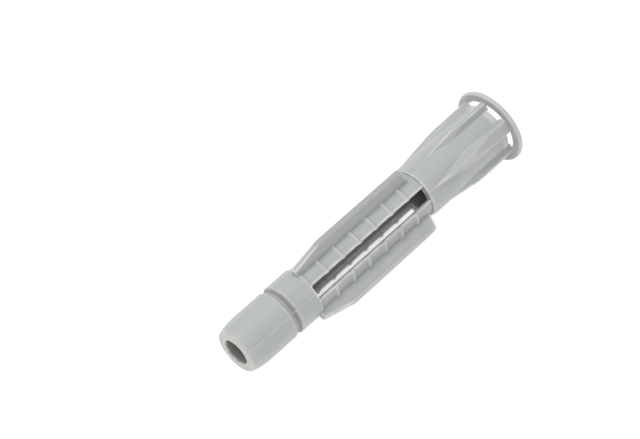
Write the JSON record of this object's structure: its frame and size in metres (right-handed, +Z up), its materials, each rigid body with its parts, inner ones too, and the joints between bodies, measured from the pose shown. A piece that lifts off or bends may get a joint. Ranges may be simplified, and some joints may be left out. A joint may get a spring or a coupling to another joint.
{
  "type": "universal wall plug",
  "caption": "One-piece plastic wall plug with a stop rim, fluted head, slotted expansion zone with side fins and a bored round nose.",
  "frame": {"origin": "on the table under the middle of the plug's length, as it lies on its side", "axes": "X along the plug as it lies, the rim at +X and the nose at -X; +Z up"},
  "size_m": [0.0514, 0.0116, 0.0116],
  "materials": {
    "plug_plastic": "satin light grey moulded plastic"
  },
  "bodies": {
    "root": {"wall_plug": "plug_plastic"}
  },
  "joints": []
}
